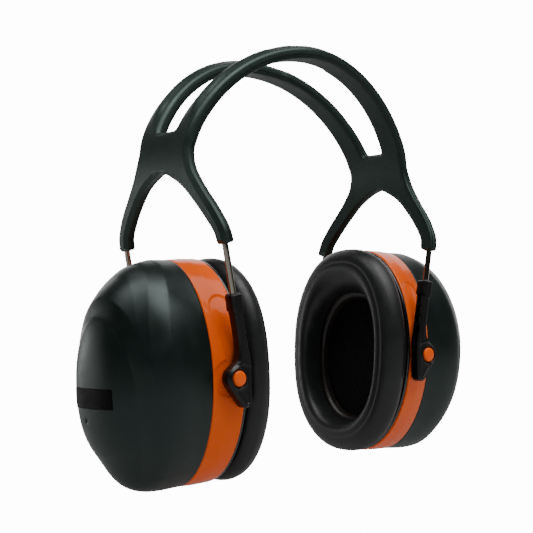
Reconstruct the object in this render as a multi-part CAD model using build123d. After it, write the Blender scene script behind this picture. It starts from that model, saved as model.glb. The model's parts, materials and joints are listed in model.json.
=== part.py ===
"""Passive hearing protection earmuffs: a sprung headband, four height sliders and two tilting ear cups.

Millimetres. The origin lies on the ear axis, midway between the ear cups, where the head goes.
+X is one ear (the "right" side here), -Y is the front, +Z is up. At rest the left cup hangs a little
lower on its wires than the right one.
"""
from build123d import *
from math import cos, radians, sin, tan
import os

# ---- driving dimensions -------------------------------------------------------------------------
# Headband: a strip that follows three tangent arcs in the XZ plane, from the crown to each leg tip.
CROWN_RADIUS = 79.5            # big arc over the head
CROWN_CENTRE_Z = 77.9
SHOULDER_RADIUS = 47.4         # arc that turns the band down at the temples
LEG_RADIUS = 200.5             # slight inward curve of the legs
CROWN_END, SHOULDER_END, LEG_END = 58.0, 94.0, 103.5     # headings in degrees, 90 is straight down
BAND_THICKNESS = 5.0
LINER_THICKNESS = 1.6          # inner half of the band, which closes the wire grooves
CROWN_HALF_WIDTH, WAIST_HALF_WIDTH, WAIST_AT = 29.7, 20.0, 98.0
CROWN_EASE = 10.0              # the edges round over within this distance of the crown
SLOT_HALF_WIDTH, SLOT_TAPER, SLOT_END_AT = 17.0, 14.6, 88.0
SLOT_CORNER = 2.5

# Spring wires and sliders
WIRE_DIAMETER = 3.0
WIRE_Y = 40.8                  # front and rear wires stand this far from the middle plane
WIRE_LEAN = 11.0               # degrees from vertical; the cups slide along this direction
WIRE_BELOW_LEG = 41.0          # wire that sticks out of each leg tip
GROOVE_CLEARANCE = 0.05
SLIDE_CLEARANCE = 0.08
EXPOSED_WIRE = {"left": 24.0, "right": 17.0}             # bare wire between leg tip and collar at rest

# Arms, measured from the pivot: a is outward from the head, w is up
ARM_INNER_Y, ARM_OUTER_Y = 38.0, 43.6
SHAFT_WIDTH = 5.2
CHANNEL_WIDTH = 3.5
COLLAR_WIDTH, COLLAR_DEPTH, COLLAR_HEIGHT = 6.0, 6.4, 8.0
ARM_TOP_W = 40.0
CHANNEL_FLOOR_W = 2.4
CROSSBAR_PITCH, CROSSBAR_HEIGHT, CROSSBAR_THICKNESS = 5.3, 0.9, 0.8
EYE_RADIUS, EYE_CLEARANCE = 2.6, 0.05
BOSS_RADIUS = 6.3
BUTTON_RADIUS, BUTTON_RECESS_RADIUS = 3.7, 4.0
BUTTON_SEAT_Y, BUTTON_TOP_Y = 42.2, 44.4

# Ear cups, measured from the cup centre: u is outward from the head, y is front to back, w is up
PIVOT_X, PIVOT_Z = 64.05, -1.8                           # pivot of an evenly adjusted cup
PIVOT_BELOW_CENTRE = 1.8
CUP_TILT = 2.4                                           # the foot of the cup leans towards the head
RING_OUTER_U, RING_INNER_U = 8.7, -7.6
SHELL_HALF_WIDTH, SHELL_HALF_HEIGHT = 35.2, 54.9
RING_HALF_WIDTH, RING_HALF_HEIGHT = 38.2, 55.0
PIVOT_FLAT_Y = 37.6                                      # the ring is flat under the arms
SHELL_DEPTH = 45.0
SHELL_WALL = 2.4
PANEL_HALF_WIDTH, PANEL_HALF_HEIGHT, PANEL_CENTRE_W = 23.9, 42.0, -7.0
PANEL_RECESS = 0.9                                       # the dome's end panel is sunk this deep
LABEL_WIDTH, LABEL_HEIGHT, LABEL_CENTRE_W, LABEL_THICKNESS = 31.0, 9.5, -8.0, 0.5
SKIRT_HALF_WIDTH, SKIRT_HALF_HEIGHT = 31.6, 51.0
SKIRT_END_U = -5.6
PLATE_THICKNESS, BACKING_THICKNESS = 2.0, 1.0
PLATE_OPENING = (27.5, 39.5)
BACKING_OPENING = (26.6, 38.6)
GASKET_THICKNESS = 1.0
FOAM_FACE_U, FOAM_SPLIT_U = -5.0, 6.0
CUSHION_FACE_U = -26.0
CUSHION_SKIN = 1.0

UP_WIRE = Vector(sin(radians(WIRE_LEAN)), 0, cos(radians(WIRE_LEAN)))   # right side, away from the cup
os.makedirs("parts", exist_ok=True)


# ---- headband curve -------------------------------------------------------------------------------
def heading(s):
    """Heading in radians, from level at the crown, at s mm along the middle of the band."""
    crown = CROWN_RADIUS * radians(CROWN_END)
    shoulder = crown + SHOULDER_RADIUS * radians(SHOULDER_END - CROWN_END)
    if s <= crown:
        return s / CROWN_RADIUS
    if s <= shoulder:
        return radians(CROWN_END) + (s - crown) / SHOULDER_RADIUS
    return radians(SHOULDER_END) + (s - shoulder) / LEG_RADIUS


def band_point(s, y=0.0, h=0.0):
    """Point s mm from the crown (negative on the left), y front to back, h outward of mid-thickness."""
    side, turn = (-1 if s < 0 else 1), heading(abs(s))
    x, z, start = 0.0, CROWN_CENTRE_Z + CROWN_RADIUS, 0.0
    for radius, end in ((CROWN_RADIUS, CROWN_END), (SHOULDER_RADIUS, SHOULDER_END), (LEG_RADIUS, LEG_END)):
        stop = min(turn, radians(end))
        x += radius * (sin(stop) - sin(start))
        z += radius * (cos(stop) - cos(start))
        start = stop
        if turn <= radians(end):
            break
    return Vector(side * (x + h * sin(turn)), y, z + h * cos(turn))


LEG_TIP_AT = (CROWN_RADIUS * radians(CROWN_END) + SHOULDER_RADIUS * radians(SHOULDER_END - CROWN_END)
              + LEG_RADIUS * radians(LEG_END - SHOULDER_END))
LEG_TIP = band_point(LEG_TIP_AT)
SPLIT_AT = 60.0                # above here the outline is cut from the top, below here from the side


def outer_half_width(s):
    """Half width of the band from the crown to the waist above the fork."""
    run = s * s / (2 * CROWN_EASE) if s < CROWN_EASE else s - CROWN_EASE / 2
    narrowing = (1 - run / (WAIST_AT - CROWN_EASE / 2)) ** 1.1
    return WAIST_HALF_WIDTH + (CROWN_HALF_WIDTH - WAIST_HALF_WIDTH) * narrowing


def slot_half_width(s):
    """Half width of the long slot between the two strips."""
    return SLOT_HALF_WIDTH - SLOT_TAPER * (s / (CROWN_RADIUS * radians(90))) ** 1.38


# Outline of one fork: (s along the band, half width), outside of the leg and then the gap between the legs.
LEG_OUTSIDE = [(98, 20.0), (106, 22.2), (112, 25.7), (118.5, 30.5), (125, 35.8), (131, 39.9), (137, 43.0),
               (LEG_TIP_AT + 1, 44.2)]
LEG_INSIDE = [(LEG_TIP_AT + 1, 37.4), (138, 36.2), (133, 33.0), (127, 28.3), (121, 22.8), (115, 16.4),
              (110.5, 9.0), (107.3, 0)]


def arcs_at(h):
    """The five tangent arcs of the whole band, h mm outward of mid-thickness, from left tip to right tip."""
    crown = CROWN_RADIUS * radians(CROWN_END)
    shoulder = crown + SHOULDER_RADIUS * radians(SHOULDER_END - CROWN_END)
    stops = [-LEG_TIP_AT, -shoulder, -crown, crown, shoulder, LEG_TIP_AT]
    return [ThreePointArc(band_point(a, 0, h), band_point((a + b) / 2, 0, h), band_point(b, 0, h))
            for a, b in zip(stops, stops[1:])]


def band_sheet(h_low, h_high):
    """A wide curved sheet between two offsets of the band's middle line."""
    low, high = arcs_at(h_low), arcs_at(h_high)
    ends = [Line(low[0] @ 0, high[0] @ 0), Line(low[-1] @ 1, high[-1] @ 1)]
    face = make_face(low + high + ends)
    return extrude(face, amount=60, dir=(0, 1, 0), both=True)


def fork_outline():
    """Side view of the band below SPLIT_AT: web, waist and two legs, as a face in the YZ plane."""
    def at(s, y):
        return Vector(0, y, band_point(s).Z)
    upper = [at(s, outer_half_width(s)) for s in (52, SPLIT_AT, 70, 80, 90)]
    outside = upper + [at(s, y) for s, y in LEG_OUTSIDE]
    inside = [at(s, y) for s, y in LEG_INSIDE]
    gap = Spline(inside + [Vector(0, -p.Y, p.Z) for p in reversed(inside[:-1])])
    rear = [Spline(outside), Line(outside[-1], inside[0])]
    front = [edge.mirror(Plane.XZ) for edge in rear]
    top = Line(outside[0], Vector(0, -outside[0].Y, outside[0].Z))
    return make_face(rear + front + [gap, top])


def top_outline(width, reach):
    """Plan view of the band, or of its slot, between -reach and reach along the band."""
    stations = [reach * k / 5 for k in range(6)]
    rear = [Vector(band_point(s).X, width(s), 0) for s in reversed(stations)]
    rear = [Vector(-p.X, p.Y, 0) for p in rear[:-1]] + list(reversed(rear))
    front = [Vector(p.X, -p.Y, 0) for p in rear]
    return make_face([Spline(rear), Spline(front), Line(rear[0], front[0]), Line(rear[-1], front[-1])])


def slot_side_outline():
    """Side view of the slot below SPLIT_AT, with rounded lower corners."""
    stations = (52, SPLIT_AT, 70, 80, SLOT_END_AT)
    rear = [Vector(0, slot_half_width(s), band_point(s).Z) for s in stations]
    front = [Vector(0, -p.Y, p.Z) for p in rear]
    face = make_face([Spline(rear), Spline(front), Line(rear[0], front[0]), Line(rear[-1], front[-1])])
    low = face.vertices().sort_by(Axis.Z)[:2]
    return fillet(low, SLOT_CORNER)


def band_cutter():
    """Everything inside the band's outline: plan view near the crown, side view below."""
    reach = 160
    plan = extrude(top_outline(outer_half_width, SPLIT_AT + 4), amount=reach, dir=(0, 0, 1))
    plan -= extrude(top_outline(slot_half_width, SPLIT_AT + 5), amount=reach, dir=(0, 0, 1))
    side = extrude(fork_outline(), amount=90, dir=(1, 0, 0), both=True)
    side -= extrude(slot_side_outline(), amount=91, dir=(1, 0, 0), both=True)
    crown_z = band_point(SPLIT_AT).Z - 2
    plan -= Pos(0, 0, crown_z / 2) * Box(400, 200, crown_z)
    return plan, side


# ---- spring wires ---------------------------------------------------------------------------------
def strip_middle(s):
    """Distance of a wire from the middle plane, s mm along the band."""
    stations = [(0, 23.6), (20, 21.9), (40, 19.9), (60, 17.7), (80, 15.4), (90, 14.6), (98, 14.4), (106, 15.8),
                (112, 19.4), (118, 24.6), (124, 30.2), (130, 35.2), (136, 38.9), (140, 40.3), (150, WIRE_Y)]
    for (s0, y0), (s1, y1) in zip(stations, stations[1:]):
        if s <= s1:
            return y0 + (y1 - y0) * (s - s0) / (s1 - s0)
    return WIRE_Y


def wire_path():
    """Middle line of one wire: over the head inside a strip, down both legs and straight out of the tips."""
    stations = [7 + 11.5 * k for k in range(9)] + [106.5, 114, 121.5, 129, 136]
    down = -1 * UP_WIRE
    tip = band_point(LEG_TIP_AT, WIRE_Y)
    half = [band_point(s, strip_middle(s)) for s in stations] + [tip, tip + down * WIRE_BELOW_LEG]
    points = [Vector(-p.X, p.Y, p.Z) for p in reversed(half)] + half
    radii = []
    for before, corner, after in zip(points, points[1:], points[2:]):
        run = min((corner - before).length, (after - corner).length)
        turn = (corner - before).get_angle(after - corner)
        radii.append(0.42 * run / tan(radians(max(turn, 0.5)) / 2))
    return FilletPolyline(*points, radius=radii)


def wire_solid(path, radius):
    profile = Plane(origin=path @ 0, z_dir=path % 0) * Circle(radius)
    return sweep(profile, path=path)


# ---- arms and pivots, built on the right side with the pivot at the origin of a and w --------------
def wire_offset():
    """How far the wire line passes inboard of an evenly adjusted pivot, along X at the pivot's height."""
    return PIVOT_X - (LEG_TIP.X - (LEG_TIP.Z - PIVOT_Z) * tan(radians(WIRE_LEAN)))


def arm():
    """Arm of a slider on the +Y side: collar, channelled shaft with crossbars and teardrop head."""
    depth = ARM_OUTER_Y - ARM_INNER_Y
    mid_y = (ARM_INNER_Y + ARM_OUTER_Y) / 2
    along = Location((-wire_offset(), mid_y, 0), (0, WIRE_LEAN, 0))       # Z of this frame runs up the wire
    foot_w, shaft_top = 1.0, ARM_TOP_W - COLLAR_HEIGHT

    outline = make_hull((Circle(BOSS_RADIUS) + Pos(-4.7, 10.6) * Circle(3.2)
                         + Pos(-5.1, -7.0) * Circle(2.7)).edges())
    head = extrude(Plane.XZ.offset(-ARM_INNER_Y) * mirror(outline, Plane.XZ), amount=-depth)
    rim = head.faces().sort_by(Axis.Y)[-1].edges()
    head = chamfer(rim, 1.0)

    shaft = along * Pos(0, 0, (foot_w + shaft_top + 1) / 2) * Box(SHAFT_WIDTH, depth, shaft_top + 1 - foot_w)
    collar = Box(COLLAR_WIDTH, COLLAR_DEPTH, COLLAR_HEIGHT)
    collar = chamfer(collar.edges().filter_by(Axis.Z), 1.0)
    collar = chamfer(collar.faces().sort_by(Axis.Z)[-1].edges(), 0.8)
    collar = along * Pos(0, 0, ARM_TOP_W - COLLAR_HEIGHT / 2) * collar
    body = head + shaft + collar

    channel_x = -SHAFT_WIDTH / 2 - 3
    channel_end = WIRE_DIAMETER / 2 + 0.25
    length = shaft_top - CHANNEL_FLOOR_W
    body -= along * Pos((channel_x + channel_end) / 2, 0, CHANNEL_FLOOR_W + length / 2) * Box(
        channel_end - channel_x, CHANNEL_WIDTH, length)
    body -= along * Pos(0, 0, ARM_TOP_W) * Cylinder(WIRE_DIAMETER / 2 + SLIDE_CLEARANCE, 2 * COLLAR_HEIGHT + 2)
    for k in range(5):
        w = shaft_top - CROSSBAR_PITCH * (k + 1)
        bar = Box(CROSSBAR_THICKNESS, CHANNEL_WIDTH + 0.4, CROSSBAR_HEIGHT)
        body += along * Pos(-SHAFT_WIDTH / 2 + CROSSBAR_THICKNESS / 2, 0, w) * bar

    eye = Rot(90, 0, 0) * Cylinder(EYE_RADIUS + EYE_CLEARANCE, 4 * depth)
    body -= Pos(0, mid_y, 0) * eye
    recess_depth = ARM_OUTER_Y + 3 - (BUTTON_SEAT_Y - 0.3)
    recess = Rot(90, 0, 0) * Cylinder(BUTTON_RECESS_RADIUS, recess_depth)
    return body - Pos(0, BUTTON_SEAT_Y - 0.3 + recess_depth / 2, 0) * recess


def pivot_stud():
    """Pivot on the +Y side: a shaft that is pressed into the ring and a domed button outside the arm."""
    foot_y = SKIRT_HALF_WIDTH + 1.2
    shaft_length = BUTTON_SEAT_Y - foot_y
    shaft = Pos(0, foot_y + shaft_length / 2, 0) * Rot(90, 0, 0) * Cylinder(EYE_RADIUS, shaft_length)
    height = BUTTON_TOP_Y - BUTTON_SEAT_Y
    button = Rot(-90, 0, 0) * Cylinder(BUTTON_RADIUS, height)
    button = fillet(button.faces().sort_by(Axis.Y)[-1].edges(), 0.9)
    return shaft + Pos(0, BUTTON_SEAT_Y + height / 2, 0) * button


# ---- ear cup, built on the right side around the cup centre: X is u, Z is w ------------------------
def oval(u, half_width, half_height):
    return Plane(origin=(u, 0, 0), x_dir=(0, 1, 0), z_dir=(1, 0, 0)) * Ellipse(half_width, half_height)


def oval_loft(sections):
    return loft([oval(*section) for section in sorted(sections)])


def oval_prism(u0, u1, half_width, half_height):
    return extrude(oval(min(u0, u1), half_width, half_height), amount=abs(u1 - u0), dir=(1, 0, 0))


def dome_scale(f):
    """Size of the dome's outline at depth fraction f, from 1 at the ring to 0 at the end."""
    return (1 - f ** 1.81) ** (1 / 3.43)


def dome(grow, start=RING_OUTER_U):
    """Solid dome outside the ring, from u = start, with its surface moved out by grow mm."""
    depth = RING_OUTER_U + SHELL_DEPTH + grow - start
    fractions = (0, 0.2, 0.4, 0.58, 0.73, 0.85, 0.93, 0.985)
    return oval_loft([(start + depth * f, (SHELL_HALF_WIDTH + grow) * dome_scale(f),
                       (SHELL_HALF_HEIGHT + grow) * dome_scale(f)) for f in fractions])


def cup_shell():
    """Dome with a straight skirt that the ring fits over."""
    skirt = oval_prism(SKIRT_END_U, RING_OUTER_U, SKIRT_HALF_WIDTH, SKIRT_HALF_HEIGHT)
    hollow = oval_prism(SKIRT_END_U - 1, RING_OUTER_U + SHELL_WALL + 1, SKIRT_HALF_WIDTH - SHELL_WALL,
                        SKIRT_HALF_HEIGHT - SHELL_WALL)
    inside = dome(-SHELL_WALL, RING_OUTER_U + SHELL_WALL)
    panel = Plane(origin=(RING_OUTER_U + 8, 0, PANEL_CENTRE_W), x_dir=(0, 1, 0), z_dir=(1, 0, 0)) * Ellipse(
        PANEL_HALF_WIDTH, PANEL_HALF_HEIGHT)
    recess = extrude(panel, amount=SHELL_DEPTH, dir=(1, 0, 0)) - dome(-PANEL_RECESS)
    return dome(0) - recess + skirt - inside - hollow


def label():
    """Blank plate set on the dome's sunken panel."""
    plate = Pos(RING_OUTER_U + SHELL_DEPTH, 0, LABEL_CENTRE_W) * Box(30, LABEL_WIDTH, LABEL_HEIGHT)
    return (dome(LABEL_THICKNESS - PANEL_RECESS) & plate) - dome(-PANEL_RECESS)


def trim_ring():
    """Coloured ring over the skirt, flat where the arms lie on it and drilled for the pivots."""
    ring = oval_loft([(RING_INNER_U, RING_HALF_WIDTH, RING_HALF_HEIGHT), (1.0, 36.9, 55.2),
                      (RING_OUTER_U, SHELL_HALF_WIDTH, SHELL_HALF_HEIGHT)])
    ring -= oval_prism(SKIRT_END_U, RING_OUTER_U + 1, SKIRT_HALF_WIDTH, SKIRT_HALF_HEIGHT)
    ring -= oval_prism(RING_INNER_U - 1, SKIRT_END_U, *PLATE_OPENING)
    ring = ring & Box(60, 2 * PIVOT_FLAT_Y, 140)
    holes = Pos(0, 0, -PIVOT_BELOW_CENTRE) * Rot(90, 0, 0) * Cylinder(EYE_RADIUS, 100)
    core = oval_prism(-20, 20, SKIRT_HALF_WIDTH + 1.2, SKIRT_HALF_HEIGHT)
    return ring - (holes - core)


def seal_plate():
    """Flange that closes the cup around the ear opening."""
    plate = oval_prism(RING_INNER_U - PLATE_THICKNESS, RING_INNER_U, 37.5, 54.4)
    return plate - oval_prism(RING_INNER_U - 5, RING_INNER_U + 1, *PLATE_OPENING)


def cushion_backing():
    """Stiff snap-in rim that carries the cushion."""
    back = RING_INNER_U - PLATE_THICKNESS
    rim = oval_prism(back - BACKING_THICKNESS, back, 36.4, 50.6)
    return rim - oval_prism(back - 3, back + 1, *BACKING_OPENING)


CUSHION_BACK_U = RING_INNER_U - PLATE_THICKNESS - BACKING_THICKNESS
CUSHION_OUTSIDE = [(CUSHION_BACK_U, 37.0, 51.0), (-12.2, 39.6, 52.8), (-14.5, 42.4, 54.5), (-17.3, 43.4, 55.0),
                   (-20.5, 42.6, 54.3), (-23.5, 40.3, 52.0), (-25.3, 37.7, 49.4), (CUSHION_FACE_U, 35.5, 47.2)]
CUSHION_INSIDE = [(CUSHION_BACK_U, 26.6, 38.6), (-14.0, 25.9, 38.1), (-18.0, 25.8, 38.0), (-22.0, 26.2, 38.4),
                  (-24.6, 27.4, 39.6), (CUSHION_FACE_U, 29.5, 41.5)]


def cushion_roll(inset):
    """The whole roll of the ear cushion, or its core when inset is the skin's thickness."""
    def shrunk(sections, change):
        face = CUSHION_FACE_U + inset
        depth = (face - CUSHION_BACK_U) / (CUSHION_FACE_U - CUSHION_BACK_U)
        return [(CUSHION_BACK_U + (u - CUSHION_BACK_U) * depth, a + change, b + change) for u, a, b in sections]
    return oval_loft(shrunk(CUSHION_OUTSIDE, -inset)) - oval_loft(shrunk(CUSHION_INSIDE, inset))


def foam_disc():
    """Face pad of the acoustic foam, seen at the bottom of the ear opening."""
    return oval_prism(FOAM_FACE_U, FOAM_SPLIT_U, SKIRT_HALF_WIDTH - SHELL_WALL - 0.2,
                      SKIRT_HALF_HEIGHT - SHELL_WALL - 0.2)


def foam_block():
    """Thicker foam that fills the dome behind the face pad."""
    return oval_loft([(FOAM_SPLIT_U, 28.0, 46.0), (18, 27.5, 44.0), (30, 25.0, 39.0), (40, 20.0, 30.0)])


def cushion_gasket():
    """Soft collar that lines the opening of the plate between the cushion and the face pad."""
    collar = oval_prism(CUSHION_BACK_U, FOAM_FACE_U, *BACKING_OPENING)
    return collar - oval_prism(CUSHION_BACK_U - 1, FOAM_FACE_U + 1, BACKING_OPENING[0] - GASKET_THICKNESS,
                               BACKING_OPENING[1] - GASKET_THICKNESS)


# ---- assembly ---------------------------------------------------------------------------------------
def slider_shift(side):
    """How far a side's arms and cup have slid from their even position along the wires."""
    even = (LEG_TIP.Z - (PIVOT_Z + ARM_TOP_W * cos(radians(WIRE_LEAN)))) / cos(radians(WIRE_LEAN))
    return UP_WIRE * (even - EXPOSED_WIRE[side])


def pivot_at(side):
    return Vector(PIVOT_X, 0, PIVOT_Z) + slider_shift(side)


def on_side(shape, side, end="rear"):
    """Move a shape from the right rear, where it is built, to its side and end."""
    if side == "left" and end == "front":
        return Rot(0, 0, 180) * shape
    if side == "left":
        return mirror(shape, Plane.YZ)
    return mirror(shape, Plane.XZ) if end == "front" else shape


def place_cup(shape, side):
    seat = Pos(*pivot_at(side)) * Rot(0, CUP_TILT, 0) * Pos(0, 0, PIVOT_BELOW_CENTRE)
    return on_side(seat * shape, side)


def save(shape, node):
    export_step(shape.solid() if len(shape.solids()) == 1 else shape, "parts/" + node + ".step")
    print(node, len(shape.solids()), round(shape.volume, 1))


def build_headband():
    plan, side = band_cutter()
    path = wire_path()
    groove = wire_solid(path, WIRE_DIAMETER / 2 + GROOVE_CLEARANCE)
    grooves = [groove, mirror(groove, Plane.XZ)]
    joint_h = -BAND_THICKNESS / 2 + LINER_THICKNESS
    for node, low, high in (("headband_cover", joint_h, BAND_THICKNESS / 2),
                            ("headband_liner", -BAND_THICKNESS / 2, joint_h)):
        sheet = band_sheet(low, high)
        piece = (sheet & plan) + (sheet & side)
        for cut in grooves:
            piece -= cut
        save(piece, node)
    wire = wire_solid(path, WIRE_DIAMETER / 2)
    save(mirror(wire, Plane.XZ), "front_spring_wire")
    save(wire, "rear_spring_wire")


def build_side(side):
    pivot = Pos(*pivot_at(side))
    for node, shape in (("arm", pivot * arm()), ("pivot_stud", pivot * Rot(0, CUP_TILT, 0) * pivot_stud())):
        for end in ("front", "rear"):
            save(on_side(shape, side, end), f"{side}_{end}_{node}")
    core = cushion_roll(CUSHION_SKIN)
    pieces = {"cup_shell": cup_shell(), "label_plate": label(), "trim_ring": trim_ring(),
              "seal_plate": seal_plate(), "cushion_backing": cushion_backing(),
              "cushion_skin": cushion_roll(0) - core, "cushion_foam": core, "cushion_gasket": cushion_gasket(),
              "foam_disc": foam_disc(), "foam_block": foam_block()}
    for node, shape in pieces.items():
        save(place_cup(shape, side), f"{side}_{node}")


build_headband()
for name in ("right", "left"):
    build_side(name)
    print(name, "pivot", pivot_at(name))
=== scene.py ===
"""Looks of the hearing protection earmuffs: satin moulded headband and cups, glossy orange rings,
soft black ear cushions, textured foam and bright spring wires, in plain soft studio light.

Metres throughout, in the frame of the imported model. Ear cup shapes use the cup's own coordinates:
u outward from the head, y front to back, w up, from the centre of the cup.
"""

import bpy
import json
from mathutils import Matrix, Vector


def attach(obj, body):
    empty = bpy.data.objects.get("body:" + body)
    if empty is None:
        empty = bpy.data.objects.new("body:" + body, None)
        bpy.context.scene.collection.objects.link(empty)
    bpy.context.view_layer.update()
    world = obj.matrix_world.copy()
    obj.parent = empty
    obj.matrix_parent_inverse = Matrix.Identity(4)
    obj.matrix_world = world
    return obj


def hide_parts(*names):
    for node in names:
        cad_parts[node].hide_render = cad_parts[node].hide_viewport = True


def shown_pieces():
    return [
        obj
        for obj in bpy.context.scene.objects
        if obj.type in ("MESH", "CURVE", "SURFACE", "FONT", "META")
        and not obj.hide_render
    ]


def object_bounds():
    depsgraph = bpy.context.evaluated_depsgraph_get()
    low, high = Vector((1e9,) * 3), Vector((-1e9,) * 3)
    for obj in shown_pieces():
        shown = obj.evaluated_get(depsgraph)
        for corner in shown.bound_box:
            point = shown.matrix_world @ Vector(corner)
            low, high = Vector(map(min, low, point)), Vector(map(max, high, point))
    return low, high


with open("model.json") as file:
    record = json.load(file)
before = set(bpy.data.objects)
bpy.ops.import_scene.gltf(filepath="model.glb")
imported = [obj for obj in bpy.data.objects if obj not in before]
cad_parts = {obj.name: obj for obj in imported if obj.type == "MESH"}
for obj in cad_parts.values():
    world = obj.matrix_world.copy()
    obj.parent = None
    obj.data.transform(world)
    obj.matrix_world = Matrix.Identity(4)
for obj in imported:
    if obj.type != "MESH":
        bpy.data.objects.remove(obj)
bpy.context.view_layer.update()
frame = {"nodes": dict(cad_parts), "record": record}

import json
from math import cos, pi, radians, sin, sqrt, tan

import bmesh
import bpy
import numpy as np
from mathutils import Matrix, Vector
from mathutils.geometry import convex_hull_2d

MM = 0.001
SIDES = ("left", "right")

# ---- sizes shared with the solids, in millimetres ----------------------------------------------------
CROWN_RADIUS, CROWN_CENTRE_Z = 79.5, 77.9
SHOULDER_RADIUS, LEG_RADIUS = 47.4, 200.5
CROWN_END, SHOULDER_END, LEG_END = radians(58.0), radians(94.0), radians(103.5)
BAND_THICKNESS, LINER_THICKNESS = 5.0, 1.6
CROWN_HALF_WIDTH, WAIST_HALF_WIDTH, WAIST_AT, CROWN_EASE = 29.7, 20.0, 98.0, 10.0
SLOT_HALF_WIDTH, SLOT_TAPER, SLOT_END_AT, SLOT_CORNER = 17.0, 14.6, 88.0, 2.5
WIRE_LEAN = radians(11.0)
CUP_TILT = radians(2.4)
PIVOT_BELOW_CENTRE = 1.8
RING_OUTER_U, RING_INNER_U = 8.7, -7.6
SHELL_SIZE, SHELL_DEPTH = (35.2, 54.9), 45.0
RING_SIZE, RING_MIDDLE_U, RING_MIDDLE_SIZE = (38.2, 55.0), 1.0, (36.9, 55.2)
FLANGE_SIZE = (37.6, 54.6)
FOAM_FACE_U, FOAM_SIZE = -5.0, (28.9, 48.3)
CUSHION_SIZE = (40.3, 55.0)

# ---- camera ------------------------------------------------------------------------------------------
CAMERA_AZIMUTH, CAMERA_ELEVATION, CAMERA_ROLL = radians(-40.08), radians(-2.02), radians(-0.59)
CAMERA_DISTANCE, CAMERA_TARGET, CAMERA_LENS = 0.621, Vector((-0.0102, 0.0, 0.0499)), 80.9


# ---- mesh helpers ------------------------------------------------------------------------------------
def new_object(name, vertices, faces, body, replaced=(), smooth_angle=40):
    """A piece from points in metres, smooth except over edges sharper than smooth_angle degrees."""
    mesh = bpy.data.meshes.new(name)
    mesh.from_pydata([tuple(v) for v in vertices], [], faces)
    work = bmesh.new()
    work.from_mesh(mesh)
    bmesh.ops.remove_doubles(work, verts=work.verts, dist=2e-6)
    bmesh.ops.recalc_face_normals(work, faces=work.faces)
    work.to_mesh(mesh)
    work.free()
    return finish_object(name, mesh, body, replaced, smooth_angle)


def finish_object(name, mesh, body, replaced=(), smooth_angle=40):
    mesh.shade_smooth()
    mesh.set_sharp_from_angle(angle=radians(smooth_angle))
    obj = bpy.data.objects.new(name, mesh)
    bpy.context.scene.collection.objects.link(obj)
    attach(obj, body)
    if replaced:
        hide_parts(*replaced)
    return obj


def ring_faces(rows, columns, closed_rows=False):
    """Quads between rows of a grid whose columns run round."""
    faces = []
    for i in range(rows if closed_rows else rows - 1):
        a, b = i * columns, ((i + 1) % rows) * columns
        faces += [(a + j, a + (j + 1) % columns, b + (j + 1) % columns, b + j) for j in range(columns)]
    return faces


def end_faces(count, columns):
    """The last and the first row of a grid of count points, each closed by one face."""
    return [tuple(range(count - columns, count)), tuple(range(columns - 1, -1, -1))]


def hermite(points, samples):
    """Smooth curve through points, Catmull-Rom style, with samples steps in each span."""
    p = np.asarray(points, float)
    padded = np.vstack([2 * p[0] - p[1], p, 2 * p[-1] - p[-2]])
    out = []
    for k in range(1, len(padded) - 2):
        a, b, c, d = padded[k - 1:k + 3]
        t = np.linspace(0, 1, samples, endpoint=False)[:, None]
        m0, m1 = (c - a) / 2, (d - b) / 2
        out.append((2 * t**3 - 3 * t**2 + 1) * b + (t**3 - 2 * t**2 + t) * m0
                   + (3 * t**2 - 2 * t**3) * c + (t**3 - t**2) * m1)
    return np.vstack(out + [p[-1:]])


def smoothstep(low, high, x):
    t = np.clip((np.asarray(x, float) - low) / (high - low), 0, 1)
    return t * t * (3 - 2 * t)


# ---- places ------------------------------------------------------------------------------------------
JOINTS = {joint["name"]: joint for joint in frame["record"]["behaviour"]["joints"]}


def cup_points(side, points):
    """World points in metres of cup coordinates (u, y, w) in millimetres."""
    p = np.asarray(points, float).reshape(-1, 3)
    pivot = JOINTS[side + "_tilt"]["pos_m"]
    sign = -1 if side == "left" else 1
    w = p[:, 2] + PIVOT_BELOW_CENTRE
    x = abs(pivot[0]) + (p[:, 0] * cos(CUP_TILT) + w * sin(CUP_TILT)) * MM
    z = pivot[2] + (w * cos(CUP_TILT) - p[:, 0] * sin(CUP_TILT)) * MM
    return np.stack([sign * x, p[:, 1] * MM, z], 1)


def band_line(s):
    """x, z and heading at s mm along the middle of the band, for arrays of s."""
    s = np.asarray(s, float)
    distance = np.abs(s)
    crown = CROWN_RADIUS * CROWN_END
    shoulder = crown + SHOULDER_RADIUS * (SHOULDER_END - CROWN_END)
    turn = np.where(distance <= crown, distance / CROWN_RADIUS,
                    np.where(distance <= shoulder, CROWN_END + (distance - crown) / SHOULDER_RADIUS,
                             SHOULDER_END + (distance - shoulder) / LEG_RADIUS))
    x, z, start = np.zeros_like(s), np.full_like(s, CROWN_CENTRE_Z + CROWN_RADIUS), np.zeros_like(s)
    for radius, end in ((CROWN_RADIUS, CROWN_END), (SHOULDER_RADIUS, SHOULDER_END), (LEG_RADIUS, 9.0)):
        stop = np.minimum(turn, end)
        stop = np.maximum(stop, start)
        x = x + radius * (np.sin(stop) - np.sin(start))
        z = z + radius * (np.cos(stop) - np.cos(start))
        start = np.minimum(np.full_like(s, end), np.maximum(turn, start))
    return np.sign(s) * x, z, turn


def band_points(s, y, h):
    """World points in metres: s along the band, y front to back, h outward of mid-thickness, in mm."""
    x, z, turn = band_line(s)
    side = np.where(np.asarray(s) < 0, -1.0, 1.0)
    return np.stack([x + side * h * np.sin(turn), y, z + h * np.cos(turn)], 1) * MM


LEG_TIP_AT = (CROWN_RADIUS * CROWN_END + SHOULDER_RADIUS * (SHOULDER_END - CROWN_END)
              + LEG_RADIUS * (LEG_END - SHOULDER_END))


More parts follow.
